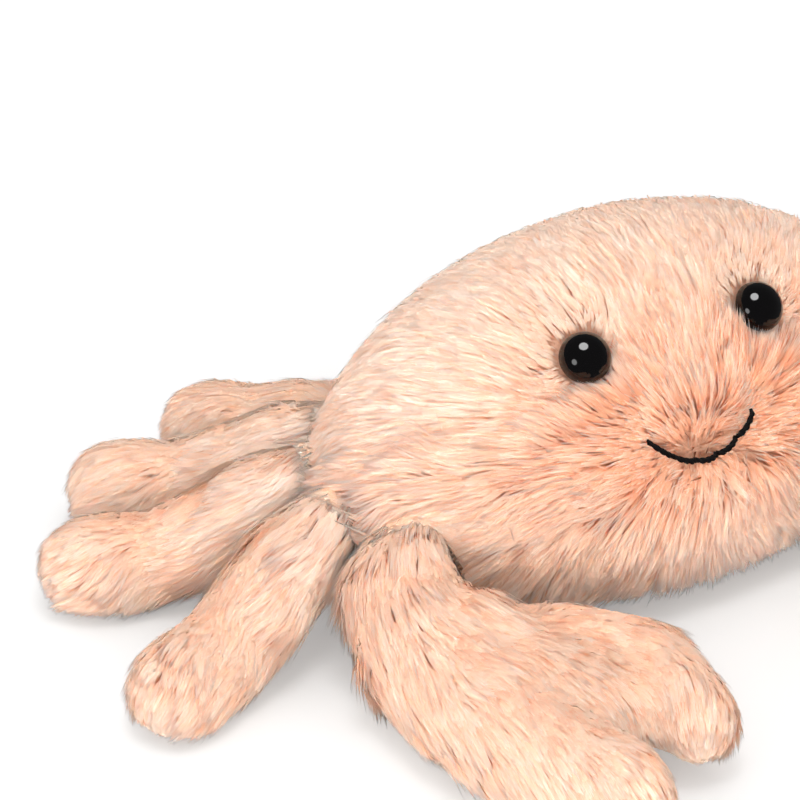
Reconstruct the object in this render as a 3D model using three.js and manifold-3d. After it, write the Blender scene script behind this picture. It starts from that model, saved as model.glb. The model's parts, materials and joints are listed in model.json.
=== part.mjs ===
// A soft toy crab of long-pile cloth: a stuffed dome of a body, with four legs and one claw sewn
// into the side seam on each side. Millimetres, +Z up, the face towards -Y, the belly's flat on Z = 0.
import * as THREE from "three";
import { mergeVertices } from "three/addons/utils/BufferGeometryUtils.js";
import Module from "manifold-3d";

const wasm = await Module();
wasm.setup();

// Fits
const GAP = 0.3; // between neighbouring pieces of cloth, filling and trim
const CLOTH = 3.5; // pile cloth: backing and pressed pile together
const FLAT_CUT = 0.5; // how deep the flats that rest on the table are cut

// Body, measured on the outside of the cloth
const BODY_WIDE = 128; // left to right at the side seam
const BODY_FRONT = 35; // from the widest line forward to the face
const BODY_BACK = 39; // from the widest line back to the rear
const SEAM_HEIGHT = 21; // table to the side seam
const DOME_RISE = 45.5; // side seam to the crown
const DOME_POWER = 2; // 2 is an ellipse, more is fuller
const BELLY_POWER = 2.5;

// Bean pouch inside the belly
const POUCH_WIDE = 72;
const POUCH_DEEP = 42;
const POUCH_TALL = 16;
const POUCH_CLOTH = 1;
const POUCH_MOUTH = 14; // length of the slit the beans go in by

// Safety eyes
const EYE_WIDE = 10;
const EYE_RISE = 3.6; // bead above the cloth
const EYE_SINK = 2; // bead drawn into the cloth
const EYE_SIDE = 19; // from the centre line
const EYE_FORWARD = 20.5; // from the widest line
const SHANK_WIDE = 3.4;
const WASHER_WIDE = 11;
const WASHER_THICK = 1.2;
const WASHER_SET = CLOTH + GAP + 0.7; // the flat washer stands off the hollow inside of the dome
const SHANK_END = WASHER_SET + WASHER_THICK + 2.5;

// Stitched mouth
const MOUTH_HEIGHT = 34; // lowest stitch above the table
const MOUTH_WIDE = 23;
const MOUTH_CURL = 6; // rise of the corners
const THREAD = 1.2;
const STITCHES = 5;
const STITCH_RISE = 0.4;

// Limbs: the seam line is the hinge, and the sleeve swells from it
const LEG_LONG = 50;
const LEG_REAR = 0.88; // length of the rearmost leg beside the others
const LEG_WIDE = 21;
const LEG_THICK = 18;
const LEG_ROOT = 14; // width held in the seam
const LEG_TIP = 0.86; // width left at the tip
const LEG_PLACES = [5, -17.5, -38, -57]; // degrees round the seam from the side, front is positive
const LEG_SWEEPS = [14, 9, 19, 24]; // degrees that each leg bends forward from square to the seam
const CLAW_PLACE = 30;
const CLAW_LONG = 86; // seam to the end of the outer finger, straight
const CLAW_ROOT = 18;
const CLAW_THICK = 25;
const ARM_WIDE = 28;
const PALM_WIDE = 30;
const FINGER_WIDE = 22;
const THUMB_WIDE = 21;
const SEAM_EDGE = 2; // half the thickness of a limb at the seam
const SWELL = 17; // run in which a limb reaches its full thickness
const DROOP_RUN = 32; // run in which a limb comes down to the table

const PEACH = 0xf7cdb2;
const WADDING = 0xf3efe6;
const CALICO = 0xe6dcc6;
const BEANS = 0xd9d8d2;
const BLACK = 0x0c0b0c;
const WASHER = 0xe6e6e2;

function solid(geometry) {
  const bare = geometry.clone();
  bare.deleteAttribute("normal");
  bare.deleteAttribute("uv");
  const merged = mergeVertices(bare, 1e-4);
  const corners = merged.index.array;
  const faces = [];
  for (let i = 0; i < corners.length; i += 3) {
    const [a, b, c] = corners.slice(i, i + 3);
    if (a !== b && b !== c && c !== a) faces.push(a, b, c);
  }
  return new wasm.Manifold(
    new wasm.Mesh({
      numProp: 3,
      vertProperties: new Float32Array(merged.attributes.position.array),
      triVerts: new Uint32Array(faces),
    }),
  );
}

function surface(body) {
  const mesh = body.getMesh();
  const geometry = new THREE.BufferGeometry();
  geometry.setAttribute("position", new THREE.BufferAttribute(new Float32Array(mesh.vertProperties), 3));
  geometry.setIndex(new THREE.BufferAttribute(new Uint32Array(mesh.triVerts), 1));
  return geometry;
}

function box(x0, x1, y0, y1, z0, z1) {
  const geometry = new THREE.BoxGeometry(x1 - x0, y1 - y0, z1 - z0);
  geometry.translate((x0 + x1) / 2, (y0 + y1) / 2, (z0 + z1) / 2);
  return solid(geometry);
}

function reshape(geometry, move) {
  const place = geometry.attributes.position;
  const point = new THREE.Vector3();
  for (let i = 0; i < place.count; i += 1) {
    point.fromBufferAttribute(place, i);
    move(point);
    place.setXYZ(i, point.x, point.y, point.z);
  }
  return geometry;
}

function piece(name, geometry, color, roughness = 0.95) {
  const finish = new THREE.MeshStandardMaterial({ color, roughness, metalness: 0 });
  const smooth = geometry.index ? geometry.toNonIndexed() : geometry;
  smooth.computeVertexNormals();
  const mesh = new THREE.Mesh(smooth, finish);
  mesh.name = name;
  return mesh;
}

// Body shell, drawn in by an inset on every side
function bodyForm(inset) {
  const ball = new THREE.SphereGeometry(1, 24, 12).rotateX(Math.PI / 2);
  return reshape(ball, (p) => {
    const power = p.z > 0 ? DOME_POWER : BELLY_POWER;
    const flat = Math.hypot(p.x, p.y);
    const spread = flat > 1e-6 ? flat ** (2 / power) / flat : 0;
    const rise = Math.abs(p.z) ** (2 / power);
    const deep = p.y < 0 ? BODY_FRONT : BODY_BACK;
    p.x *= spread * (BODY_WIDE / 2 - inset);
    p.y *= spread * (deep - inset);
    const up = SEAM_HEIGHT + rise * (DOME_RISE - inset);
    const down = SEAM_HEIGHT - rise * (SEAM_HEIGHT + FLAT_CUT - inset);
    p.z = p.z > 0 ? up : Math.max(down, inset);
  });
}

// Point and outward direction on the face of the dome, from its place across and its height
function onFace(x, z) {
  const half = BODY_WIDE / 2;
  const rise = (z - SEAM_HEIGHT) / DOME_RISE;
  const spread = (1 - rise ** DOME_POWER) ** (1 / DOME_POWER);
  const y = -BODY_FRONT * Math.sqrt(spread ** 2 - (x / half) ** 2);
  const side = spread ** (DOME_POWER - 2);
  const out = new THREE.Vector3(
    (side * x) / half ** 2,
    (side * y) / BODY_FRONT ** 2,
    rise ** (DOME_POWER - 1) / DOME_RISE,
  );
  return { point: new THREE.Vector3(x, y, z), out: out.normalize() };
}

function eyeSeat(side) {
  const across = EYE_SIDE / (BODY_WIDE / 2);
  const spread = Math.hypot(across, EYE_FORWARD / BODY_FRONT);
  const rise = (1 - spread ** DOME_POWER) ** (1 / DOME_POWER);
  const seat = onFace(side * EYE_SIDE, SEAM_HEIGHT + rise * DOME_RISE);
  const turn = new THREE.Quaternion().setFromUnitVectors(new THREE.Vector3(0, 1, 0), seat.out);
  return new THREE.Matrix4().compose(seat.point, turn, new THREE.Vector3(1, 1, 1));
}

// Round bar along an eye's axis, between two depths below the cloth
function plug(wide, from, to, seat) {
  const bar = new THREE.CylinderGeometry(wide / 2, wide / 2, to - from, 16);
  bar.translate(0, -(from + to) / 2, 0);
  return solid(bar.applyMatrix4(seat));
}

function eyeBead() {
  const back = GAP - EYE_SINK;
  const profile = [new THREE.Vector2(0, -SHANK_END)];
  profile.push(new THREE.Vector2(SHANK_WIDE / 2, -SHANK_END));
  profile.push(new THREE.Vector2(SHANK_WIDE / 2, back));
  profile.push(new THREE.Vector2(EYE_WIDE * 0.44, back));
  for (let step = 0; step <= 5; step += 1) {
    const angle = (step / 5) * (Math.PI / 2);
    const wide = (EYE_WIDE / 2) * Math.cos(angle);
    const high = back + 1 + (EYE_RISE - back - 1) * Math.sin(angle);
    profile.push(new THREE.Vector2(step === 5 ? 0 : wide, high));
  }
  return new THREE.LatheGeometry(profile, 18);
}

function eyeWasher() {
  const hole = SHANK_WIDE / 2 + GAP;
  const ring = new THREE.Shape().absarc(0, 0, WASHER_WIDE / 2, 0, 2 * Math.PI);
  ring.holes.push(new THREE.Path().absarc(0, 0, hole, 0, 2 * Math.PI));
  const disc = new THREE.ExtrudeGeometry(ring, { depth: WASHER_THICK, bevelEnabled: false, curveSegments: 9 });
  return disc.rotateX(Math.PI / 2).translate(0, -WASHER_SET, 0);
}

function mouthThread() {
  const points = [];
  const steps = STITCHES * 4;
  for (let i = 0; i <= steps; i += 1) {
    const across = (2 * i) / steps - 1;
    const spot = onFace((across * MOUTH_WIDE) / 2, MOUTH_HEIGHT + MOUTH_CURL * across ** 2);
    const arch = STITCH_RISE * Math.abs(Math.sin((STITCHES * Math.PI * i) / steps));
    points.push(spot.point.addScaledVector(spot.out, GAP + THREAD / 2 + arch));
  }
  const round = new THREE.Shape().absarc(0, 0, THREAD / 2, 0, 2 * Math.PI);
  return new THREE.ExtrudeGeometry(round, {
    steps,
    curveSegments: 3,
    extrudePath: new THREE.CatmullRomCurve3(points),
  });
}

function pouchForm(grow) {
  const ball = new THREE.SphereGeometry(1, 16, 10).rotateX(Math.PI / 2);
  const floor = CLOTH + GAP;
  return reshape(ball, (p) => {
    p.x *= POUCH_WIDE / 2 + grow;
    p.y *= POUCH_DEEP / 2 + grow;
    const sag = floor + POUCH_TALL / 2 + p.z * (POUCH_TALL / 2 + grow + 1);
    p.z = Math.max(sag, floor - grow);
  });
}

function bodyPieces() {
  const seats = [eyeSeat(-1), eyeSeat(1)];
  const far = BODY_WIDE;
  const outer = solid(bodyForm(0));
  let shell = outer.subtract(solid(bodyForm(CLOTH)));
  let wadding = solid(bodyForm(CLOTH + GAP)).subtract(solid(pouchForm(GAP)));
  for (const seat of seats) {
    shell = shell.subtract(plug(EYE_WIDE + 2 * GAP, -far / 4, EYE_SINK, seat));
    shell = shell.subtract(plug(SHANK_WIDE + 2 * GAP, 0, SHANK_END, seat));
    wadding = wadding.subtract(plug(WASHER_WIDE + 4 * GAP, 0, SHANK_END + 2 * GAP, seat));
  }
  const dome = box(-far, far, -far, far, SEAM_HEIGHT + GAP / 2, far);
  const bowl = box(-far, far, -far, far, -far, SEAM_HEIGHT - GAP / 2);
  const right = box(-far, -GAP / 2, -far, far, -far, far);
  const left = box(GAP / 2, far, -far, far, -far, far);
  const carapace = shell.intersect(dome);
  const mouthSlit = box(-POUCH_MOUTH / 2, POUCH_MOUTH / 2, 8, 9.2, POUCH_TALL / 2 + CLOTH, far);
  const pouch = solid(pouchForm(0)).subtract(solid(pouchForm(-POUCH_CLOTH))).subtract(mouthSlit);
  const beans = pouchForm(-POUCH_CLOTH - GAP);
  const pieces = [
    piece("right_carapace", surface(carapace.intersect(right)), PEACH),
    piece("left_carapace", surface(carapace.intersect(left)), PEACH),
    piece("belly", surface(shell.intersect(bowl)), PEACH),
    piece("body_filling", surface(wadding), WADDING),
    piece("bean_pouch", surface(pouch), CALICO),
    piece("beans", surface(solid(beans)), BEANS, 0.6),
    piece("mouth_thread", mouthThread(), BLACK, 0.7),
  ];
  for (const [at, side] of ["right", "left"].entries()) {
    pieces.push(piece(`${side}_eye`, eyeBead().applyMatrix4(seats[at]), BLACK, 0.08));
    pieces.push(piece(`${side}_eye_washer`, eyeWasher().applyMatrix4(seats[at]), WASHER, 0.4));
  }
  return pieces;
}

// Sleeve round a centre line in the seam's plane: half sizes at each place along, closed at both ends
function sleeve(form, inset, settle) {
  const { path, stations } = form;
  const run = path.getLength();
  const rings = [];
  for (const { at, wide, thick, square } of stations) {
    if (wide - inset < 0.4 || thick - inset < 0.4) continue;
    const share = THREE.MathUtils.clamp(at / run, 0, 1);
    const along = square ? new THREE.Vector3(1, 0, 0) : path.getTangentAt(share);
    const centre = path.getPointAt(share).addScaledVector(along, Math.min(at, 0));
    rings.push({ centre, along, wide: wide - inset, thick: thick - inset, at });
  }
  const around = 10;
  const points = [];
  for (const ring of rings) {
    const across = new THREE.Vector3(-ring.along.y, ring.along.x, 0);
    for (let i = 0; i < around; i += 1) {
      const angle = ((i + 0.5) / around) * 2 * Math.PI;
      const point = ring.centre.clone().addScaledVector(across, ring.wide * Math.cos(angle));
      point.z += ring.thick * Math.sin(angle);
      points.push(point);
    }
  }
  const first = rings[0];
  const last = rings[rings.length - 1];
  points.push(first.centre.clone().addScaledVector(first.along, -0.3));
  points.push(last.centre.clone().addScaledVector(last.along, 0.3));
  const faces = [];
  const total = rings.length * around;
  for (let r = 0; r + 1 < rings.length; r += 1) {
    for (let i = 0; i < around; i += 1) {
      const j = (i + 1) % around;
      const [a, b] = [r * around + i, r * around + j];
      faces.push(a, b, b + around, a, b + around, a + around);
    }
  }
  for (let i = 0; i < around; i += 1) {
    const j = (i + 1) % around;
    faces.push(total, j, i, total + 1, total - around + i, total - around + j);
  }
  const geometry = new THREE.BufferGeometry().setFromPoints(points);
  geometry.setIndex(faces);
  return solid(reshape(geometry, settle));
}

// Places along a sleeve: a rounded seam edge, a swell, a body, and a round end of the given reach
function stations(run, reach, body, wideAt, thickAt, rooted) {
  const places = rooted ? [-0.9 * SEAM_EDGE, 0, SWELL * 0.45, SWELL] : [0];
  for (let i = 1; i <= body; i += 1) {
    const from = rooted ? SWELL : 0;
    places.push(from + ((run - reach - from) * i) / body);
  }
  for (const angle of [40, 72]) {
    places.push(run - reach + reach * Math.sin(THREE.MathUtils.degToRad(angle)));
  }
  return places.map((at) => {
    const past = Math.max(0, (at - run + reach) / reach);
    const end = Math.sqrt(Math.max(0, 1 - past ** 2));
    const edge = at < 0 ? Math.sqrt(1 - (at / SEAM_EDGE) ** 2) : 1;
    return { at, wide: wideAt(at) * end, thick: thickAt(at) * end * edge, square: rooted && at <= 0 };
  });
}

function swellTo(from, to, at) {
  const share = THREE.MathUtils.clamp(at / SWELL, 0, 1);
  return from + (to - from) * Math.sin((share * Math.PI) / 2);
}

function blend(table, at) {
  let k = 1;
  while (k < table.length - 1 && at > table[k][0]) k += 1;
  const [a, b] = [table[k - 1], table[k]];
  return THREE.MathUtils.lerp(a[1], b[1], THREE.MathUtils.smoothstep(at, a[0], b[0]));
}

function flatCurve(points) {
  return new THREE.CatmullRomCurve3(points.map(([x, y]) => new THREE.Vector3(x, y, 0)));
}

function legForms(long, bend) {
  const sweep = THREE.MathUtils.degToRad(bend);
  const reach = [long * Math.cos(sweep), long * Math.sin(sweep)];
  const path = flatCurve([[0, 0], [long * 0.3, long * 0.05], [reach[0] * 0.66, reach[1] * 0.55], reach]);
  const run = path.getLength();
  const wide = (at) => swellTo(LEG_ROOT, LEG_WIDE, at) / 2 * (1 - (1 - LEG_TIP) * Math.max(0, at / run));
  const thick = (at) => swellTo(SEAM_EDGE, LEG_THICK / 2, at);
  return [{ path, stations: stations(run, LEG_WIDE * 0.45, 2, wide, thick, true) }];
}

// Arm and outer finger, palm, and thumb, as shares of the claw's length out from the seam and along it
function clawForms() {
  const scaled = (line) => flatCurve(line.map(([out, along]) => [out * CLAW_LONG, along * CLAW_LONG]));
  const arm = scaled([[0, 0], [0.14, 0.02], [0.27, 0.14], [0.4, 0.32], [0.53, 0.52], [0.65, 0.75]]);
  const palm = scaled([[0.23, 0.16], [0.28, 0.32], [0.33, 0.48], [0.4, 0.61]]);
  const thumb = scaled([[0.31, 0.22], [0.15, 0.37], [0.12, 0.52], [0.2, 0.66], [0.39, 0.75]]);
  const [armRun, palmRun, thumbRun] = [arm.getLength(), palm.getLength(), thumb.getLength()];
  const widths = [[0, CLAW_ROOT], [SWELL, ARM_WIDE], [armRun * 0.56, PALM_WIDE], [armRun, FINGER_WIDE]];
  const armHalf = (at) => blend(widths, at) / 2;
  const armThick = (at) => swellTo(SEAM_EDGE, CLAW_THICK / 2, at);
  const palmHalf = () => PALM_WIDE / 2;
  const palmThick = () => CLAW_THICK / 2;
  const thumbHalf = () => THUMB_WIDE / 2;
  const thumbThick = () => (CLAW_THICK / 2) * 0.85;
  return [
    { path: arm, stations: stations(armRun, FINGER_WIDE * 0.5, 4, armHalf, armThick, true) },
    { path: palm, stations: stations(palmRun, PALM_WIDE * 0.4, 2, palmHalf, palmThick, false) },
    { path: thumb, stations: stations(thumbRun, THUMB_WIDE * 0.5, 3, thumbHalf, thumbThick, false) },
  ];
}

function joined(forms, inset, settle) {
  return forms.map((form) => sleeve(form, inset, settle)).reduce((all, next) => all.add(next));
}

// Limb in its own frame: the seam line along Y through the origin, the sleeve leaving it along +X
function limbPieces(name, forms, root, thick) {
  const drop = SEAM_HEIGHT - thick / 2 + FLAT_CUT;
  const settle = (p) => {
    const away = Math.hypot(Math.max(0, p.x), Math.max(0, Math.abs(p.y) - root / 2));
    p.z -= drop * THREE.MathUtils.smoothstep(away, 0, DROOP_RUN);
  };
  const span = 4 * LEG_LONG;
  const below = (height) => {
    const block = new THREE.BoxGeometry(span, span, span / 2, 12, 12, 1);
    return solid(reshape(block.translate(0, 0, height - span / 4), settle));
  };
  const table = box(-span, span, -span, span, -SEAM_HEIGHT, span);
  const skin = joined(forms, 0, settle).subtract(joined(forms, CLOTH, settle)).intersect(table);
  return [
    piece(`${name}_top`, surface(skin.subtract(below(GAP / 2))), PEACH),
    piece(`${name}_underside`, surface(skin.intersect(below(-GAP / 2))), PEACH),
    piece(`${name}_filling`, surface(joined(forms, CLOTH + GAP, settle)), WADDING),
  ];
}

// Sews a limb to the right of the body: degrees round the seam, front is positive
function sewn(name, place, pieces) {
  const angle = THREE.MathUtils.degToRad(place);
  const deep = place > 0 ? BODY_FRONT : BODY_BACK;
  const half = BODY_WIDE / 2;
  const out = new THREE.Vector3(-Math.cos(angle) / half, -Math.sin(angle) / deep, 0).normalize();
  const limb = new THREE.Group();
  limb.name = name;
  limb.position.set(-half * Math.cos(angle), -deep * Math.sin(angle), SEAM_HEIGHT);
  limb.position.addScaledVector(out, SEAM_EDGE + GAP);
  limb.rotation.z = Math.atan2(out.y, out.x);
  limb.add(...pieces);
  return limb;
}

function sidePieces(side) {
  const limbs = new THREE.Group();
  limbs.name = `${side}_limbs`;
  const claw = `${side}_claw`;
  limbs.add(sewn(claw, CLAW_PLACE, limbPieces(claw, clawForms(), CLAW_ROOT, CLAW_THICK)));
  for (const [at, place] of LEG_PLACES.entries()) {
    const leg = `${side}_leg_${at + 1}`;
    const long = at === LEG_PLACES.length - 1 ? LEG_LONG * LEG_REAR : LEG_LONG;
    limbs.add(sewn(leg, place, limbPieces(leg, legForms(long, LEG_SWEEPS[at]), LEG_ROOT, LEG_THICK)));
  }
  return limbs;
}

const crab = new THREE.Group();
crab.name = "plush_crab";
crab.add(...bodyPieces());
crab.add(sidePieces("right"));
const leftSide = sidePieces("left");
leftSide.scale.x = -1;
crab.add(leftSide);

export default crab;
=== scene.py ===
# %% [markdown]
# A soft toy crab in long peach pile, dressed around its solid model. The solids give every size, place and
# hinge. This script adds what the eye and the hand notice: stuffed pads under a cloth backing, the pile
# brushed over them, two bead eyes and a mouth sewn in black thread.

# %% Load the solid model
import json
import math

import bmesh
import bpy
import numpy as np
from mathutils import Matrix, Vector
from mathutils.bvhtree import BVHTree
from mathutils.kdtree import KDTree


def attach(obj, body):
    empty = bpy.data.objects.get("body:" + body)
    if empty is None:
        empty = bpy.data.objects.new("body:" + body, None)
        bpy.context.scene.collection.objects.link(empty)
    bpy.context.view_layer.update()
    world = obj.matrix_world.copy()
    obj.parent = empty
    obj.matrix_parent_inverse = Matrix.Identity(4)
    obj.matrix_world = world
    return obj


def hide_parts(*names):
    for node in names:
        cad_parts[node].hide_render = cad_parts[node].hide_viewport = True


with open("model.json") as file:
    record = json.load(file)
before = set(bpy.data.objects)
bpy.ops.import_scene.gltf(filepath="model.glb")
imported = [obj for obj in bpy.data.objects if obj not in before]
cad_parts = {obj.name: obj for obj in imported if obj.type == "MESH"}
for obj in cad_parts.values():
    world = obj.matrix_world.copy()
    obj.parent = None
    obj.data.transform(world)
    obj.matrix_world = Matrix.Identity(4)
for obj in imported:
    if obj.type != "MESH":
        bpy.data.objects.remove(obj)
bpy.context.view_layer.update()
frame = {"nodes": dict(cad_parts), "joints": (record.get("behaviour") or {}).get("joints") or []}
MM = 0.001
scene = bpy.context.scene

# %% [markdown]
# Colours are written as sRGB hex, as a paint chart gives them, and shader sockets want linear light, so one
# function converts. One small function adds a shader node with its settings, links and ramp colours.
# Another gives a finished mesh its material and stands it in the scene.


# %% Colour, node and piece helpers
def linear(hex_colour):
    parts = [int(hex_colour[i : i + 2], 16) / 255 for i in (1, 3, 5)]
    return (*[p / 12.92 if p <= 0.04045 else ((p + 0.055) / 1.055) ** 2.4 for p in parts], 1.0)


def add_node(tree, kind, inputs=None, stops=(), **settings):
    """Adds a node. An input is a value or a socket to link; stops are a ramp's (place, colour) pairs."""
    node = tree.nodes.new(kind)
    for name, value in settings.items():
        setattr(node, name, value)
    for name, value in (inputs or {}).items():
        if isinstance(value, bpy.types.NodeSocket):
            tree.links.new(value, node.inputs[name])
        else:
            node.inputs[name].default_value = value
    for _ in stops[2:]:
        node.color_ramp.elements.new(1.0)
    for step, (place, colour) in enumerate(stops):
        node.color_ramp.elements[step].position = place
        node.color_ramp.elements[step].color = linear(colour)
    return node


def new_material(name):
    material = bpy.data.materials.new(name)
    material.use_nodes = True
    material.node_tree.nodes.clear()
    return material, material.node_tree


def add_piece(name, mesh, material):
    mesh.materials.append(material)
    mesh.polygons.foreach_set("use_smooth", [True] * len(mesh.polygons))
    piece = bpy.data.objects.new(name, mesh)
    scene.collection.objects.link(piece)
    return piece


PAPER_WHITE = linear("#fafafa")
print("white paper in linear light:", [round(v, 3) for v in PAPER_WHITE])

# %% [markdown]
# The photograph was taken from the toy's front right, 32 degrees up, with a long lens. The place and the
# scale were found by matching the body's outline, the eyes and the mouth. Only part of the toy is in the
# frame. A shifted lens could do that, but here the camera is turned so that the body's centre falls on its
# pixel in the photograph, as a photographer would do it.

# %% Camera
AZIMUTH, ELEVATION, DISTANCE = math.radians(-29.7), math.radians(32), 0.9
PHOTO_PIXELS, PIXELS_PER_MM = 800, 5.1
BODY_CENTRE, BODY_PIXEL = Vector((0, 0, 21 * MM)), (619.4, 435.4)
SENSOR_WIDE = 36


def stand_camera():
    level = math.cos(ELEVATION)
    back = Vector((math.sin(AZIMUTH) * level, -math.cos(AZIMUTH) * level, math.sin(ELEVATION)))
    right = Vector((math.cos(AZIMUTH), math.sin(AZIMUTH), 0))
    place = BODY_CENTRE + back * DISTANCE
    half = PHOTO_PIXELS / 2
    centre = BODY_CENTRE + right * ((half - BODY_PIXEL[0]) / PIXELS_PER_MM * MM)
    centre += back.cross(right) * ((BODY_PIXEL[1] - half) / PIXELS_PER_MM * MM)
    back = (place - centre).normalized()
    right = (right - back * right.dot(back)).normalized()
    turn = Matrix((right, back.cross(right), back)).transposed().to_4x4()
    camera = bpy.data.objects.new("photo_camera", bpy.data.cameras.new("photo_camera"))
    camera.matrix_world = Matrix.Translation(place) @ turn
    camera.data.sensor_width = SENSOR_WIDE
    camera.data.lens = SENSOR_WIDE * PIXELS_PER_MM / MM * DISTANCE / PHOTO_PIXELS
    scene.collection.objects.link(camera)
    return camera


scene.camera = stand_camera()
print("lens, mm:", round(scene.camera.data.lens, 1))

# %% [markdown]
# Soft light, as for a catalogue. Most of it comes evenly from a white room, so that the pile shows its own
# colour. A soft box overhead gives the dome a gentle fall-off, one beside the toy's right legs opens their
# shade, and a fill from the front does the same for the chin. In polished beads a white room would show as
# grey fog. So for gloss the room is dim and two of the boxes are left out, as black cards round the set
# would do it, and a window that only gloss sees puts the large glint in each eye. The camera sees the room
# as white.

# %% Light
ROOM_LEVEL, ROOM_IN_GLOSS = 0.66, 0.12
LIGHT_AIM = Vector((0, 0, 30 * MM))


def soft_box(name, place, wide, watts):
    lamp = bpy.data.lights.new(name, "AREA")
    lamp.shape = "DISK"
    lamp.size = wide
    lamp.energy = watts
    holder = bpy.data.objects.new(name, lamp)
    holder.location = place
    holder.rotation_euler = (LIGHT_AIM - Vector(place)).to_track_quat("-Z", "Y").to_euler()
    scene.collection.objects.link(holder)
    return holder


scene.view_settings.view_transform = "Standard"
world = bpy.data.worlds.new("white_room")
world.use_nodes = True
tree = world.node_tree
room = tree.nodes["Background"]
room.inputs["Color"].default_value = linear("#ffffff")
ray = add_node(tree, "ShaderNodeLightPath")
level = add_node(
    tree,
    "ShaderNodeMapRange",
    {"Value": ray.outputs["Is Glossy Ray"], "To Min": ROOM_LEVEL, "To Max": ROOM_IN_GLOSS},
)
strength = add_node(
    tree, "ShaderNodeMath", {0: level.outputs[0], 1: ray.outputs["Is Camera Ray"]}, operation="MAXIMUM"
)
tree.links.new(strength.outputs[0], room.inputs["Strength"])
scene.world = world
soft_box("key_box", place=(-0.18, -0.32, 1.1), wide=0.42, watts=1.9).visible_glossy = False
soft_box("side_box", place=(-0.95, -0.4, 0.3), wide=0.4, watts=1.8)
soft_box("front_fill", place=(-0.3, -0.8, 0.16), wide=0.5, watts=2.5).visible_glossy = False
soft_box("eye_window", place=(-0.08, -0.14, 1.12), wide=0.6, watts=10).visible_diffuse = False

# %% [markdown]
# The toy sits on a sheet of white paper that runs out of the picture. Paper alone renders light grey under
# light that suits the toy. A photographer would light the sheet by itself. Here a faint glow that only the
# camera sees lifts it to white and leaves the toy's shadow on it. For gloss the sheet is left out, since
# its far edge would part the beads into a light half and a dark one.

# %% Floor
PAPER_GLOW, PAPER_HALF = 0.28, 4
paper_material, tree = new_material("white_paper_sweep")
paper = add_node(tree, "ShaderNodeBsdfDiffuse", {"Color": PAPER_WHITE})
ray = add_node(tree, "ShaderNodeLightPath")
seen = add_node(tree, "ShaderNodeMapRange", {"Value": ray.outputs["Is Camera Ray"], "To Max": PAPER_GLOW})
glow = add_node(tree, "ShaderNodeEmission", {"Strength": seen.outputs[0]})
sweep = add_node(tree, "ShaderNodeAddShader", {0: paper.outputs[0], 1: glow.outputs[0]})
add_node(tree, "ShaderNodeOutputMaterial", {"Surface": sweep.outputs[0]})
floor_mesh = bpy.data.meshes.new("floor")
corners = [(x * PAPER_HALF, y * PAPER_HALF, 0) for x, y in ((-1, -1), (1, -1), (1, 1), (-1, 1))]
floor_mesh.from_pydata(corners, [], [(0, 1, 2, 3)])
floor = add_piece("floor", floor_mesh, paper_material)
floor.visible_glossy = False
print("floor, m:", 2 * PAPER_HALF)

# %% [markdown]
# Pile cloth is a knitted backing with long acrylic fibre drawn through it. The fibre is nearly colourless
# and scatters light many times: pale and a little yellow at the tips, where light gets in, and a warm
# salmon at the roots, where it has bounced from fibre to fibre. A ramp along each strand paints that in,
# painted shade at the roots and painted light at the tips, from a map whose height runs from root to tip
# and whose width gives each strand its own tone. Light also spreads a millimetre or two through the coat,
# red furthest, so subsurface scattering softens it and warms its shade.

# %% Pile finish
LIGHT_SPREAD = 2.1 * MM
pile_material, tree = new_material("acrylic_long_pile")
strand = add_node(tree, "ShaderNodeUVMap", uv_map="OFBake")
split = add_node(tree, "ShaderNodeSeparateXYZ", {"Vector": strand.outputs[0]})
# Painted shade at the roots and painted light at the tips.
along = add_node(
    tree,
    "ShaderNodeValToRGB",
    {"Fac": split.outputs["Y"]},
    stops=[(0.0, "#ecb391"), (0.45, "#f3d6bf"), (1.0, "#f6eee6")],
)
tone = add_node(tree, "ShaderNodeMapRange", {"Value": split.outputs["X"], "To Min": 0.95, "To Max": 1.03})
tinted = add_node(
    tree, "ShaderNodeVectorMath", {0: along.outputs["Color"], "Scale": tone.outputs[0]}, operation="SCALE"
)
fibre = add_node(
    tree,
    "ShaderNodeBsdfPrincipled",
    {
        "Base Color": tinted.outputs[0],
        "Roughness": 0.65,
        "Sheen Weight": 0.15,
        "Specular IOR Level": 0.2,
        "Subsurface Weight": 1.0,
        "Subsurface Radius": (1.0, 0.55, 0.4),
        "Subsurface Scale": LIGHT_SPREAD,
    },
    subsurface_method="BURLEY",
)
add_node(tree, "ShaderNodeOutputMaterial", {"Surface": fibre.outputs[0]})
print("pile finish:", pile_material.name)

# %% [markdown]
# The backing is a plain knit in dyed polyester, matt and a little uneven. It shows only where the pile
# parts, so noise as fine as its stitches, in two close salmons and with a slight bump, is enough. Drawn
# loops would never be seen.

# %% Backing finish
KNIT_STITCH, KNIT_DEPTH = 1.1 * MM, 0.3 * MM
cloth_material, tree = new_material("knitted_polyester_backing")
spot = add_node(tree, "ShaderNodeTexCoord")
weave = add_node(
    tree, "ShaderNodeTexNoise", {"Vector": spot.outputs["Object"], "Scale": 1 / KNIT_STITCH, "Detail": 2.0}
)
knit = add_node(
    tree, "ShaderNodeValToRGB", {"Fac": weave.outputs["Fac"]}, stops=[(0.3, "#efae8b"), (0.7, "#f6c1a2")]
)
bump = add_node(tree, "ShaderNodeBump", {"Height": weave.outputs["Fac"], "Distance": KNIT_DEPTH})
backing = add_node(
    tree,
    "ShaderNodeBsdfPrincipled",
    {"Base Color": knit.outputs[0], "Roughness": 0.9, "Normal": bump.outputs[0]},
)
add_node(tree, "ShaderNodeOutputMaterial", {"Surface": backing.outputs[0]})
print("backing finish:", cloth_material.name)

# %% [markdown]
# The body is a dome over a shallow bowl, sewn together at the side seam. The face is the front of the dome,
# a part of an ellipsoid, so how far a point lies to the side and how high it is give its place. The eyes
# and the smile are found that way. Cloth and pile give way to both, so two functions measure the distance
# from them.

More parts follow.
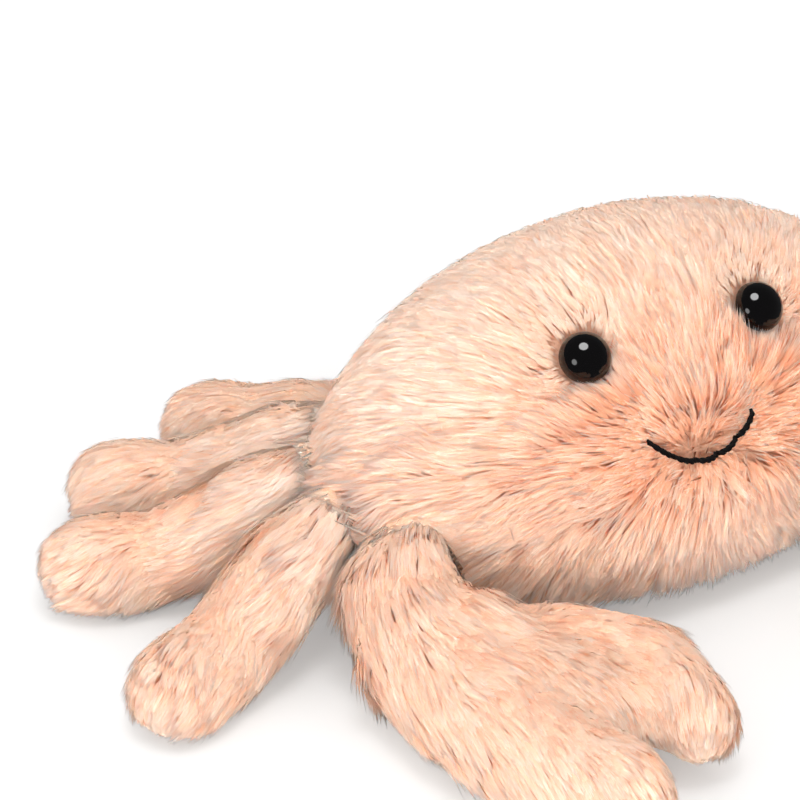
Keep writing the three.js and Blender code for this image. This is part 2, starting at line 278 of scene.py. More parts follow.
# %% Face
BODY_HALF, BODY_FRONT, BODY_BACK = 64 * MM, 35 * MM, 39 * MM
SEAM_HEIGHT, DOME_RISE = 21 * MM, 45.5 * MM
EYE_SIDE, EYE_FORWARD = 19 * MM, 20.5 * MM
MOUTH_HEIGHT, MOUTH_WIDE, MOUTH_CURL = 34 * MM, 23 * MM, 6 * MM
EYE_REACH, FAR_AWAY, SMILE_POINTS = 25 * MM, 1.0, 61


def unit(vectors):
    return vectors / np.maximum(np.linalg.norm(vectors, axis=-1, keepdims=True), 1e-12)


def on_face(x, z):
    """Point and outward direction on the outside of the dome's face."""
    rise = (z - SEAM_HEIGHT) / DOME_RISE
    y = -BODY_FRONT * math.sqrt(1 - rise**2 - (x / BODY_HALF) ** 2)
    out = np.array([x / BODY_HALF**2, y / BODY_FRONT**2, rise / DOME_RISE])
    return np.array([x, y, z]), out / np.linalg.norm(out)


def on_smile(u):
    """Point and outward direction on the mouth, for u from -1 at its right end to 1 at its left."""
    return on_face(u * MOUTH_WIDE / 2, MOUTH_HEIGHT + MOUTH_CURL * u * u)


def eye_seat(side):
    spread = math.hypot(EYE_SIDE / BODY_HALF, EYE_FORWARD / BODY_FRONT)
    return on_face(side * EYE_SIDE, SEAM_HEIGHT + math.sqrt(1 - spread**2) * DOME_RISE)


EYE_SEATS = [eye_seat(-1), eye_seat(1)]
SMILE = np.array([on_smile(u)[0] for u in np.linspace(-1, 1, SMILE_POINTS)])


def from_eye(points):
    """Distance from the nearer eye's axis, and the way out from it."""
    gaps, ways = [], []
    for place, out in EYE_SEATS:
        way = points - place
        way = way - out * (way @ out)[:, None]
        near = np.linalg.norm(points - place, axis=1) < EYE_REACH
        gaps.append(np.where(near, np.linalg.norm(way, axis=1), FAR_AWAY))
        ways.append(unit(way))
    nearer = (gaps[0] < gaps[1])[:, None]
    return np.minimum(*gaps), np.where(nearer, ways[0], ways[1])


def from_smile(points):
    return np.min(np.linalg.norm(points[:, None] - SMILE[None], axis=2), axis=1)


print("eye height, mm:", round(EYE_SEATS[0][0][2] / MM, 1))

# %% [markdown]
# The stuffed body could be sculpted, but its form is simple enough to work out. A ball of points is pushed
# out to the dome above the seam and to the bowl below it, a little inside the solid, so that the pile ends
# about where the solid does. The ball is built here in rings, because that gives the same order of faces on
# every run, and the pile is scattered by that order.

# %% Body form
DOME_POWER, BELLY_POWER, FLAT_CUT, BODY_INSET = 2.0, 2.5, 0.5 * MM, 0.8 * MM
BALL_AROUND, BALL_RINGS = 128, 80


def ball(around, rings):
    """A unit ball in rings from the lower pole to the upper; returns its points and faces."""
    tilt = np.linspace(-math.pi / 2, math.pi / 2, rings + 1)[1:-1, None]
    turn = np.linspace(0, 2 * math.pi, around, endpoint=False)[None]
    flat = np.cos(tilt)
    belts = np.stack([flat * np.cos(turn), flat * np.sin(turn), np.sin(tilt) + 0 * turn], 2)
    points = np.concatenate([[(0, 0, -1)], belts.reshape(-1, 3), [(0, 0, 1)]])
    top = len(points) - 1
    faces = []
    for i in range(around):
        j = (i + 1) % around
        faces.append((0, 1 + j, 1 + i))
        for ring in range(rings - 2):
            a, b = 1 + ring * around + i, 1 + ring * around + j
            faces.append((a, b, b + around, a + around))
        faces.append((top - around + i, top - around + j, top))
    return points, faces


def body_form(direction):
    upper = direction[:, 2] > 0
    power = np.where(upper, DOME_POWER, BELLY_POWER)
    flat = np.maximum(np.hypot(direction[:, 0], direction[:, 1]), 1e-9)
    spread = flat ** (2 / power) / flat
    rise = np.abs(direction[:, 2]) ** (2 / power)
    deep = np.where(direction[:, 1] < 0, BODY_FRONT, BODY_BACK) - BODY_INSET
    bowl = np.maximum(SEAM_HEIGHT - rise * (SEAM_HEIGHT + FLAT_CUT - BODY_INSET), BODY_INSET)
    dome = SEAM_HEIGHT + rise * (DOME_RISE - BODY_INSET)
    x = direction[:, 0] * spread * (BODY_HALF - BODY_INSET)
    return np.stack([x, direction[:, 1] * spread * deep, np.where(upper, dome, bowl)], 1)


ball_points, body_faces = ball(BALL_AROUND, BALL_RINGS)
body_points = body_form(ball_points)
print("body points:", len(body_points))

# %% [markdown]
# A washer behind each eye pulls the cloth in, and so does the thread of the mouth. The body's points are
# drawn towards its middle round both, most at the centre, which gives soft dips without sculpting.

# %% Body pad
EYE_DIP, EYE_DIP_WIDE = 2.2 * MM, 6.5 * MM
SMILE_DIP, SMILE_DIP_WIDE = 1.4 * MM, 4 * MM


def bell(gap, wide):
    """1 where the gap is 0, falling smoothly to almost 0 at twice the width."""
    return np.exp(-((gap / wide) ** 2))


dip = EYE_DIP * bell(from_eye(body_points)[0], EYE_DIP_WIDE)
dip += SMILE_DIP * bell(from_smile(body_points), SMILE_DIP_WIDE)
body_points += unit(np.array([0, 0, SEAM_HEIGHT]) - body_points) * dip[:, None]
body_mesh = bpy.data.meshes.new("body_pad")
body_mesh.from_pydata(body_points.tolist(), [], body_faces)
body = add_piece("body_pad", body_mesh, cloth_material)
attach(body, "body")
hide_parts("right_carapace", "left_carapace", "belly", "body_filling", "bean_pouch", "beans")
print("body pad faces:", len(body.data.polygons))

# %% [markdown]
# Each side has a claw and four legs, sewn into the side seam. The frame says where each hinge is, and so
# which way is out along the limb. The middle lines of the sleeves are those of the solids: a leg has one
# that sweeps towards the face, and a claw has one each for the arm with its outer finger, the palm and the
# thumb. The pile will follow them.

# %% Limb lines
CLAW_LONG, LEG_LONG, REAR_LEG_SHARE = 86, 50, 0.88
ARM_LINE = [(0, 0), (0.14, 0.02), (0.27, 0.14), (0.4, 0.32), (0.53, 0.52), (0.65, 0.75)]
PALM_LINE = [(0.23, 0.16), (0.28, 0.32), (0.33, 0.48), (0.4, 0.61)]
THUMB_LINE = [(0.31, 0.22), (0.15, 0.37), (0.12, 0.52), (0.2, 0.66), (0.39, 0.75)]
LEG_NEAR, LEG_FAR = (0.3, 0.05), (0.66, 0.55)
LEG_SWEEPS = {"leg_1": 14, "leg_2": 9, "leg_3": 19, "leg_4": 24}
CLAW_END, LEG_END = 18 * MM, 13 * MM
LIMBS = [f"{side}_{part}" for side in ("right", "left") for part in ("claw", *LEG_SWEEPS)]
ROOTS = {j["child"]: np.array(j["pos_m"]) for j in frame["joints"]}
OUTWARD = {j["child"]: np.cross([0, 0, 1], j["axis"]) for j in frame["joints"]}


def part_of(limb):
    return limb.split("_", 1)[1]


def is_claw(limb):
    return part_of(limb) == "claw"


def forward(limb):
    """The way along the side seam from a limb's root towards the face."""
    return np.cross([0, 0, 1 if limb.startswith("right") else -1], OUTWARD[limb])


def limb_lines(part):
    """The middle lines of a limb's sleeves in mm, as pairs of outward and forward."""
    if part == "claw":
        lines = (ARM_LINE, PALM_LINE, THUMB_LINE)
        return [[(x * CLAW_LONG, y * CLAW_LONG) for x, y in line] for line in lines]
    sweep = math.radians(LEG_SWEEPS[part])
    long = LEG_LONG * (REAR_LEG_SHARE if part == "leg_4" else 1)
    tip = (long * math.cos(sweep), long * math.sin(sweep))
    first = (long * LEG_NEAR[0], long * LEG_NEAR[1])
    second = (tip[0] * LEG_FAR[0], tip[1] * LEG_FAR[1])
    return [[(0, 0), first, second, tip]]


def limb_spots(limb):
    """The limb's middle lines as points, and the last point of each."""
    root, out, front = ROOTS[limb], OUTWARD[limb], forward(limb)
    lines = [[root + (x * out + y * front) * MM for x, y in line] for line in limb_lines(part_of(limb))]
    return lines, np.array([line[-1] for line in lines])


def near_end(points, limb):
    """How near the end of a leg or finger is, from 0 to 1."""
    ends = limb_spots(limb)[1]
    gap = np.linalg.norm(points[:, None, :2] - ends[None, :, :2], axis=2).min(1)
    return bell(gap, CLAW_END if is_claw(limb) else LEG_END)


print("limbs:", LIMBS)

# %% [markdown]
# In the solid a limb's root is flat, so that it can fold. On the sewn toy the stuffing bulges right up to
# the stitches. So the root is thickened to about the girth of its sleeve and tucked a little into the body.
# The rearmost leg leaves the body low, so its root is lowered instead, and the arm is broad on its outer
# side.

# %% Limb roots
# For each limb: girth against the sleeve's, lift in mm, and how far out the lift reaches in mm.
ROOT_FORMS = {
    "claw": (0.9, 1, 18),
    "leg_1": (1.1, 2, 18),
    "leg_2": (1.1, 2, 18),
    "leg_3": (1, 1, 18),
    "leg_4": (0.3, -6, 36),
}
ROOT_FULL, ROOT_OVER = 10 * MM, 26 * MM
STATIONS, STATION_HALF = np.arange(-1, 18, 2) * MM, 1.5 * MM
TUCK, TUCK_FADE = 5 * MM, (-2 * MM, 12 * MM)
ARM_BROADER = 0.4


def fade(values, low, high):
    """0 up to low, 1 from high on, smooth between."""
    share = np.clip((values - low) / (high - low), 0, 1)
    return share * share * (3 - 2 * share)


def plump_root(points, limb):
    girth, lift, reach = ROOT_FORMS[part_of(limb)]
    way = points - ROOTS[limb]
    along = way @ OUTWARD[limb]
    gap = np.linalg.norm(way[:, :2], axis=1)
    ease = 1 - fade(gap, ROOT_FULL, ROOT_OVER)
    slices = [points[(gap < ROOT_OVER) & (np.abs(along - s) < STATION_HALF), 2] for s in STATIONS]
    thick = np.array([np.ptp(heights) for heights in slices])
    middle = np.array([heights.max() + heights.min() for heights in slices]) / 2
    grow = 1 + ease * np.maximum(thick[-1] * girth / np.interp(along, STATIONS, thick) - 1, 0)
    level = np.interp(along, STATIONS, middle)
    points[:, 2] = level + (points[:, 2] - level) * grow
    points[:, 2] += lift * MM * (1 - fade(gap, 0, reach * MM))
    tuck = TUCK * ease * (1 - fade(along, *TUCK_FADE))
    points -= OUTWARD[limb] * tuck[:, None]
    if is_claw(limb):
        outer = np.minimum(way @ forward(limb), 0)
        points += np.outer(ARM_BROADER * outer * ease, forward(limb))


print("roots thickened:", {part: form[0] for part, form in ROOT_FORMS.items()})

# %% [markdown]
# A limb is a sewn sleeve, stuffed and then flattened where the side seam holds it. The two panels and the
# filling of the solid model are fused on a fine grid and smoothed, which rounds every sewn edge the way
# stuffing does. Modelling each sleeve by hand would lose the solid's exact course.

# %% Fused sleeves
FUSE_GRID, CLAW_EASE, LEG_EASE = 1.5 * MM, 24, 12


def fused_sleeve(limb):
    sleeve = bpy.data.objects.new(f"{limb}_pad", bpy.data.meshes.new(f"{limb}_pad"))
    work = bmesh.new()
    for panel in ("top", "underside", "filling"):
        work.from_mesh(frame["nodes"][f"{limb}_{panel}"].data)
    work.to_mesh(sleeve.data)
    work.free()
    scene.collection.objects.link(sleeve)
    fuse = sleeve.modifiers.new("fuse", "REMESH")
    fuse.mode = "VOXEL"
    fuse.voxel_size = FUSE_GRID
    ease = sleeve.modifiers.new("ease", "SMOOTH")
    ease.factor = 0.5
    ease.iterations = CLAW_EASE if is_claw(limb) else LEG_EASE
    shape = bpy.data.meshes.new_from_object(sleeve.evaluated_get(bpy.context.evaluated_depsgraph_get()))
    sleeve.modifiers.clear()
    sleeve.data = shape
    shape.materials.clear()
    shape.materials.append(cloth_material)
    return sleeve


print("sleeves are fused on a grid of, mm:", FUSE_GRID / MM)

# %% [markdown]
# The pile adds its own thickness, so each sleeve is drawn in a little, less where it is thin. A claw is
# drawn in more, most on its outer side, and the end of a leg is let out a little, which together with the
# pile gives the photographed outline. Scaling a sleeve would move it off its root, so each point is moved
# along its own normal.

# %% Limb pads
LEG_INSET, LEG_LET_OUT = 0.9 * MM, 2
CLAW_INSET, CLAW_OUTER, FINGER_TAPER = 1.6 * MM, 3.4 * MM, 0.6 * MM
THIN_SHARE, JUST_INSIDE, NO_FAR_SIDE = 0.3, 0.1, 4 * MM


def limb_inset(shape, points, limb):
    end = near_end(points, limb)
    if not is_claw(limb):
        return LEG_INSET * (1 - LEG_LET_OUT * end)
    outer = np.clip(-np.array([v.normal for v in shape.vertices]) @ forward(limb), 0, 1)
    return CLAW_INSET + CLAW_OUTER * outer + (FINGER_TAPER - CLAW_OUTER * outer) * end


def draw_in(shape, inset):
    """Moves each point into the sleeve, but never far through a thin place."""
    skin = BVHTree.FromPolygons([v.co for v in shape.vertices], [p.vertices for p in shape.polygons])
    places = []
    for vert, deep in zip(shape.vertices, inset):
        start = vert.co - vert.normal * JUST_INSIDE * MM
        through = skin.ray_cast(start, -vert.normal)[3] or NO_FAR_SIDE
        places.append(vert.co - vert.normal * min(deep, through * THIN_SHARE))
    for vert, place in zip(shape.vertices, places):
        vert.co = place


def limb_pad(limb):
    pad = fused_sleeve(limb)
    shape = pad.data
    points = np.array([v.co for v in shape.vertices])
    plump_root(points, limb)
    shape.vertices.foreach_set("co", points.reshape(-1))
    shape.update()
    draw_in(shape, limb_inset(shape, points, limb))
    shape.polygons.foreach_set("use_smooth", [True] * len(shape.polygons))
    return pad


pads = {}
for limb in LIMBS:
    pads[limb] = limb_pad(limb)
    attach(pads[limb], limb)
    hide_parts(f"{limb}_top", f"{limb}_underside", f"{limb}_filling")
print("limb pad faces:", {k: len(p.data.polygons) for k, p in pads.items()})

# %% [markdown]
# Nap is the way the pile lies. On the body it parts at the mouth and is brushed away from it on every side,
# over the crown and down the cheeks. Round each eye the bead pushes it aside, and over a limb's root it
# turns out along the limb. Combing hair by hand would do, but a direction worked out from the place is the
# same on every run.

# %% Nap of the body
PARTING_HALF, PARTING_RISE = 7 * MM, 1.5 * MM
HANG, HANG_BELOW, HANG_OVER = 0.3, 40 * MM, 20 * MM
EYE_PUSH, EYE_PUSH_AT, EYE_PUSH_WIDE = 1.6, 4 * MM, 3 * MM
LIMB_TURN, SEAM_COVER, ROOT_WIDE = 1.2, 5 * MM, 13 * MM


def near_limb(points):
    """How near the cloth over the nearest limb's root is, from 0 to 1, and the way out along that limb."""
    above = np.array([0, 0, SEAM_COVER])
    gaps = np.stack([np.linalg.norm(points - ROOTS[limb] - above, axis=1) for limb in LIMBS])
    way = np.array([OUTWARD[limb] for limb in LIMBS])[np.argmin(gaps, axis=0)]
    return bell(np.min(gaps, axis=0), ROOT_WIDE), way


def body_nap(points):
    parting = np.zeros_like(points)
    parting[:, 0] = PARTING_HALF * np.tanh(points[:, 0] / (2 * PARTING_HALF))
    parting[:, 1:] = SMILE[len(SMILE) // 2][1:] + np.array([0, PARTING_RISE])
    flow = unit(points - parting)
    flow[:, 2] -= HANG * np.clip((HANG_BELOW - points[:, 2]) / HANG_OVER, 0, 1)
    gap, way = from_eye(points)
    flow += way * (EYE_PUSH * bell(gap - EYE_PUSH_AT, EYE_PUSH_WIDE))[:, None]
    share, way = near_limb(points)
    return unit(flow) + way * (LIMB_TURN * share)[:, None]


print("the nap parts over, mm:", 2 * PARTING_HALF / MM)

# %% [markdown]
# On a limb the nap runs along the sleeve to the tip and then down over its end. Each stretch of the middle
# lines pulls the strands near it its own way, and where the arm, the palm and the thumb meet their ways
# blend.

# %% Nap of a limb
STRETCH_MARKS, SLEEVE_HALF = (0.25, 0.75), 7 * MM
SAG, END_SAG = 0.4, 0.5


def limb_nap(limb):
    places, ways = [], []
    for spots in limb_spots(limb)[0]:
        for a, b in zip(spots, spots[1:]):
            for share in STRETCH_MARKS:
                places.append((a + (b - a) * share)[:2])
                ways.append((b - a) / np.linalg.norm(b - a))
    places, ways = np.array(places), np.array(ways)

    def nap(points):
        gap = np.linalg.norm(points[:, None, :2] - places[None], axis=2)
        weight = bell(gap, SLEEVE_HALF) + 1e-9
        flow = unit((weight[..., None] * ways[None]).sum(1))
        flow[:, 2] -= SAG + END_SAG * near_end(points, limb)
        return flow

    return nap


print("middle lines of a claw:", len(limb_lines("claw")))

# %% [markdown]
# Pile could be Blender hair, but hair has no faces, so a copy of the model in another program would be
# bald. Here each strand is a slender blade of two triangles, widest at its bend. The blades take most of
# their shading direction from the cloth under them, so that the whole coat shades softly, as a mass of fine
# fibre does. A real fibre is about ten times finer. Blades that fine would be millions, so each one stands
# for a few fibres that cling together.

# %% One blade for each strand
STRAND_WIDE = 0.42 * MM
BLADE_CORNERS = np.array([0, 2, 1, 1, 2, 3])
MAP_HEIGHTS, MAP_ACROSS = np.array([0.02, 0.45, 0.45, 0.98]), np.array([0.0, -0.02, 0.02, 0.0])


def blade_mesh(name, lines, side, shade, tone, painted_shading):
    root, bend, tip = lines
    count = len(root)
    points = np.stack([root, bend - side, bend + side, tip], 1).reshape(-1, 3)
    loops = (np.arange(count)[:, None] * 4 + BLADE_CORNERS[None]).reshape(-1).astype(np.int32)
    mesh = bpy.data.meshes.new(name)
    mesh.vertices.add(len(points))
    mesh.vertices.foreach_set("co", points.reshape(-1))
    mesh.loops.add(len(loops))
    mesh.loops.foreach_set("vertex_index", loops)
    mesh.polygons.add(count * 2)
    mesh.polygons.foreach_set("loop_start", np.arange(count * 2, dtype=np.int32) * 3)
    mesh.polygons.foreach_set("loop_total", np.full(count * 2, 3, np.int32))
    mesh.update(calc_edges=True)
    pile = add_piece(name, mesh, pile_material)
    # The map's height carries painted shade at the roots and painted light at the tips; a higher start fades
    # the painted shade.
    height = painted_shading[:, None] + (1 - painted_shading[:, None]) * MAP_HEIGHTS[None]
    across = tone[:, None] + MAP_ACROSS[None]
    chart = np.stack([across[:, BLADE_CORNERS], height[:, BLADE_CORNERS]], 2)
    mesh.uv_layers.new(name="OFBake").data.foreach_set("uv", chart.reshape(-1))
    mesh.normals_split_custom_set_from_vertices(np.repeat(shade, 4, axis=0))
    return pile


print("strand width, mm:", STRAND_WIDE / MM)

# %% [markdown]
# Roots are scattered evenly over a pad, by the area of its faces. On the real cloth they sit in knitted
# rows, but no row shows through long pile. Neighbouring strands cling together, so every strand is drawn
# towards the leader of its lock, most at the tip.

# %% Roots and locks
LOCK_SIZE, LOCK_SPREAD = 30, 0.3
BEND_DRAW, TIP_DRAW = 0.4, 1.0


def scatter_roots(pad, density, rng):
    """Places on the pad and the ways its cloth faces there; density is to the square mm."""
    mesh = pad.data
    mesh.calc_loop_triangles()
    corner = np.empty(len(mesh.loop_triangles) * 3, np.int32)
    mesh.loop_triangles.foreach_get("vertices", corner)
    place = np.empty(len(mesh.vertices) * 3)
    mesh.vertices.foreach_get("co", place)
    facing = np.empty(len(mesh.vertices) * 3)
    mesh.vertices.foreach_get("normal", facing)
    corner, place, facing = corner.reshape(-1, 3), place.reshape(-1, 3), facing.reshape(-1, 3)
    a, b, c = (place[corner[:, i]] for i in range(3))
    area = np.linalg.norm(np.cross(b - a, c - a), axis=1) / 2
    count = int(area.sum() / MM**2 * density)
    pick = corner[rng.choice(len(area), count, p=area / area.sum())]
    share = rng.dirichlet((1, 1, 1), count)[..., None]
    return (place[pick] * share).sum(1), unit((facing[pick] * share).sum(1))


def draw_locks(bend, tip, root, pull):
    """Draws each strand towards the leader of its lock; returns the lock of each."""
    leaders = max(1, len(root) // LOCK_SIZE)
    tree = KDTree(leaders)
    for i in range(leaders):
        tree.insert(root[i], i)
    tree.balance()
    lock = np.array([tree.find(p)[1] for p in root])
    offset = (root - root[lock]) * LOCK_SPREAD
    for line, share in ((bend, BEND_DRAW), (tip, TIP_DRAW)):
        line += pull * share * (line[lock] + offset - line)
    return lock


print("strands in a lock:", LOCK_SIZE)

# %% [markdown]
# Strands must not cover the beads or run into a limb. Brushing would push them aside. Here a strand beside
# a bead is moved out to its rim, and a body strand that would enter a limb is laid over its top, found by
# looking straight down on the limb pads.

# %% Clear of beads and limbs
BEAD_CLEAR, LIMB_CLEAR, FLOOR_CLEAR = 4.9 * MM, 2 * MM, 0.5 * MM
LOOK_FROM, NEAR_ENOUGH = 0.1, 0.05


def clear_of_beads(points):
    gap, way = from_eye(points)
    points += way * np.clip(BEAD_CLEAR - gap, 0, None)[:, None]


def limb_tops():
    points, faces = [], []
    for pad in pads.values():
        faces += [[i + len(points) for i in face.vertices] for face in pad.data.polygons]
        points += [v.co.copy() for v in pad.data.vertices]
    return BVHTree.FromPolygons(points, faces)


LIMB_TOPS = limb_tops()


def depth_in_limb(points):
    """How far each point lies below the top of a limb; 0 where there is none over it."""
    deep = np.zeros(len(points))
    for i in np.flatnonzero(near_limb(points)[0] > NEAR_ENOUGH):
        x, y, z = points[i]
        hit = LIMB_TOPS.ray_cast(Vector((x, y, LOOK_FROM)), Vector((0, 0, -1)))[0]
        if hit is not None:
            deep[i] = max(hit.z - z, 0)
    return deep


print("room for a bead, mm:", 2 * BEAD_CLEAR / MM)

# %% [markdown]
# Each strand leans along the nap, bends back towards the cloth and sags a little, so two straight parts are
# enough. A slow ripple bends the nap here and there, as handling does, and chance varies each strand,
# always from the same seed.

# %% Laying strands
RIPPLES, RIPPLE_WAVE, RIPPLE_WAVES = 5, 14 * MM, (0.7, 1.4)
RIPPLE_PUSH, RIPPLE_SHARE, PHASE_MOST = 0.45, 1.3, 6.28
FRIZZ_SHARE, LIFT_SPREAD, LENGTH_SPREAD = 0.7, 4, (0.75, 1.12)
BEND_FLOW, BEND_BACK, BEND_SAG = 0.5, 0.4, np.array([0, 0, -0.2])
ROOT_PART, TIP_PART = 0.45, 0.55


def ripple(points, seed):
    """A smooth random push, the same for neighbours, that changes over about one wave."""
    rng = np.random.default_rng(seed)
    push = np.zeros_like(points)
    for _ in range(RIPPLES):
        way = unit(rng.normal(0, 1, 3)) * 2 * math.pi / (RIPPLE_WAVE * rng.uniform(*RIPPLE_WAVES))
        push += np.sin(points @ way + rng.uniform(0, PHASE_MOST))[:, None] * rng.normal(0, RIPPLE_PUSH, 3)
    return push


def lay_strands(root, normal, coat, seed, rng):
    """The way each strand leaves the cloth, its bend and its tip."""
    count = len(root)
    stray = coat["stray"](root)[:, None]
    flow = unit(coat["nap"](root)) + ripple(root, seed // 10) * stray * RIPPLE_SHARE
    flow += rng.normal(0, 1, (count, 3)) * stray * FRIZZ_SHARE
    flow = unit(flow - normal * (flow * normal).sum(1, keepdims=True))
    angle = np.radians(coat["lift"](root, normal) + rng.normal(0, LIFT_SPREAD, count))[:, None]
    long = (coat["length"](root, normal) * rng.uniform(*LENGTH_SPREAD, count) * MM)[:, None]
    first = normal * np.sin(angle) + flow * np.cos(angle)
    second = unit(first + flow * BEND_FLOW - normal * BEND_BACK + BEND_SAG)
    bend = root + first * long * ROOT_PART
    return first, bend, bend + second * long * TIP_PART


print("a strand bends at, share of its length:", ROOT_PART)

# %% [markdown]
# A coat is a set of rules by place: which roots to keep, the nap, length in mm, lift in degrees, stray, how
# firmly locks draw together, and how far the painted shade of the roots has faded into the painted light of
# the tips. One function grows a coat on a pad by those rules, so the body and the limbs can share it.

# %% Growing a coat
PULL_SPREAD, WIDTH_SPREAD, ROLL_SPREAD = (0.3, 1.0), (0.8, 1.2), 15
CLOTH_SHADE, BLADE_SHADE = 0.85, 0.15
LOCK_FADE, LOCK_TONE, STRAND_TONE, TONE_RANGE = 0.13, 0.7, 0.3, (0.03, 0.97)


def grow_pile(pad, coat, seed, panels):
    """Covers a pad with a coat and cuts it into panels, each with a rule for the roots that belong to it."""
    rng = np.random.default_rng(seed)
    root, normal = scatter_roots(pad, coat["density"], rng)
    keep = coat["keep"](root, normal)
    root, normal = root[keep], normal[keep]
    count = len(root)
    first, bend, tip = lay_strands(root, normal, coat, seed, rng)
    pull = rng.uniform(*PULL_SPREAD, count)[:, None] * coat["pull"](root)[:, None]
    lock = draw_locks(bend, tip, root, pull)
    # Painted light and shade by place, with a random fade for each lock.
    painted_shading = coat["painted_shading"](root, normal) + LOCK_FADE * rng.normal(0, 1, count)[lock]
    start = root.copy()
    for line in (root, bend, tip):
        line[:, 2] = np.maximum(line[:, 2], FLOOR_CLEAR)
    for line in (bend, tip):
        clear_of_beads(line)
        if pad is body:
            line[:, 2] += depth_in_limb(line - np.array([0, 0, LIMB_CLEAR]))
    roll = np.radians(rng.normal(0, ROLL_SPREAD, count))[:, None]
    flat = unit(np.cross(first, normal))
    side = flat * np.cos(roll) + np.cross(first, flat) * np.sin(roll)
    face = np.cross(side, first)
    face *= np.sign((face * normal).sum(1, keepdims=True))
    shade = unit(normal * CLOTH_SHADE + unit(face) * BLADE_SHADE)
    side *= STRAND_WIDE / 2 * rng.uniform(*WIDTH_SPREAD, count)[:, None]
    tone = np.clip(LOCK_TONE * rng.random(count)[lock] + STRAND_TONE * rng.random(count), *TONE_RANGE)
    piles = []
    for name, belongs in panels.items():
        mine = belongs(start)
        lines = [line[mine] for line in (root, bend, tip)]
        piles.append(blade_mesh(name, lines, side[mine], shade[mine], tone[mine], painted_shading[mine]))
        print(name, int(mine.sum()), "strands")
    return piles


print("a blade is shaded as cloth, share:", CLOTH_SHADE)

# %% [markdown]
# The body's coat is smooth and close on the crown, longer and looser on the cheeks and chin, where it hangs
# in soft tufts, and short under the belly. It is pressed short beside the beads and along the mouth, so
# that both show, and it is long over the seam, where it falls over the roots of the limbs. Each of these is
# a rule that fades from place to place, since a hard edge would show as a step in the pile.

# %% Lie of the body's coat
CHEEK_HEIGHTS, CHEEK_FRONT = (34 * MM, 54 * MM), (-5 * MM, 18 * MM)
CROWN_LONG, CHEEK_LONGER, ROOT_LONGER = 9.0, 3.0, 4.0
CROWN_LIFT, CHEEK_LIFT, ROOT_LIFT = 19, 4, 10
CROWN_STRAY, CHEEK_STRAY, SMILE_STRAY, SMILE_STRAY_WIDE = 0.13, 0.14, 0.06, 11 * MM
CROWN_PULL, CHEEK_PULL = 0.4, 0.28
BELLY_SHORT, BELLY_HEIGHTS = 0.55, (4 * MM, 18 * MM)
EYE_SHORT, BESIDE_EYE = 0.45, (5 * MM, 12 * MM)
SMILE_SHORT, BESIDE_SMILE = 0.35, (1 * MM, 8 * MM)


def looseness(points):
    """1 on the cheeks and chin, 0 on the crown and back."""
    return (1 - fade(points[:, 2], *CHEEK_HEIGHTS)) * fade(-points[:, 1], *CHEEK_FRONT)


def shortened(share, values, low, high):
    """The share where values are low, and 1 where they are high."""
    return share + (1 - share) * fade(values, low, high)


def body_length(points, normals):
    long = CROWN_LONG + CHEEK_LONGER * looseness(points) + ROOT_LONGER * near_limb(points)[0]
    long *= shortened(BELLY_SHORT, points[:, 2], *BELLY_HEIGHTS)
    beside_eye = shortened(EYE_SHORT, from_eye(points)[0], *BESIDE_EYE)
    return long * np.minimum(beside_eye, shortened(SMILE_SHORT, from_smile(points), *BESIDE_SMILE))


def body_lift(points, normals):
    return CROWN_LIFT + CHEEK_LIFT * looseness(points) + ROOT_LIFT * near_limb(points)[0]


def body_stray(points):
    tousled = bell(from_smile(points), SMILE_STRAY_WIDE)
    return CROWN_STRAY + CHEEK_STRAY * looseness(points) + SMILE_STRAY * tousled


print("pile on the crown, mm:", CROWN_LONG)

# %% [markdown]
# Painted shade deepens the salmon round the mouth, and painted light pales the crown, where the top faces
# the light. All of the body that is seen has its coat in one piece, although two panels are sewn there.
# Blender gathers scattered light within a piece only, so a break on the centre line would show as a grey
# streak. The short pile under the belly is a piece of its own.

# %% Body coat
EYE_BARE, SMILE_BARE, BURIED = 4.4 * MM, 0.7 * MM, 3 * MM
FACE_PAINTED_SHADE, FACE_WIDE, FACE_HEIGHTS = 0.85, 27 * MM, (20 * MM, 38 * MM)
CROWN_PAINTED_LIGHT, CROWN_HEIGHTS = 0.55, (28 * MM, 56 * MM)
FACING_DOWN = -0.7
BELLY_EDGE, BODY_SEED = 5 * MM, 10


def thinned(normals):
    """Half of the strands are enough where the toy lies on them."""
    return (np.arange(len(normals)) % 2 == 0) | (normals[:, 2] > FACING_DOWN)


def off_trim(points, normals):
    clear = (from_eye(points)[0] > EYE_BARE) & (from_smile(points) > SMILE_BARE)
    return clear & thinned(normals) & (depth_in_limb(points) < BURIED)


# Painted light on the crown and painted shade round the mouth, in the colour of the pile.
def body_painted_shading(points, normals):
    face = bell(from_smile(points), FACE_WIDE) * fade(points[:, 2], *FACE_HEIGHTS)
    return CROWN_PAINTED_LIGHT * fade(points[:, 2], *CROWN_HEIGHTS) * (1 - face) - FACE_PAINTED_SHADE * face


BODY_COAT = {
    "density": 4.8,
    "keep": off_trim,
    "nap": body_nap,
    "length": body_length,
    "lift": body_lift,
    "stray": body_stray,
    "pull": lambda points: CROWN_PULL + CHEEK_PULL * looseness(points),
    "painted_shading": body_painted_shading,
}
PANELS = {
    "body_pile": lambda roots: roots[:, 2] >= BELLY_EDGE,
    "belly_pile": lambda roots: roots[:, 2] < BELLY_EDGE,
}
for pile in grow_pile(body, BODY_COAT, BODY_SEED, PANELS):
    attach(pile, "body")
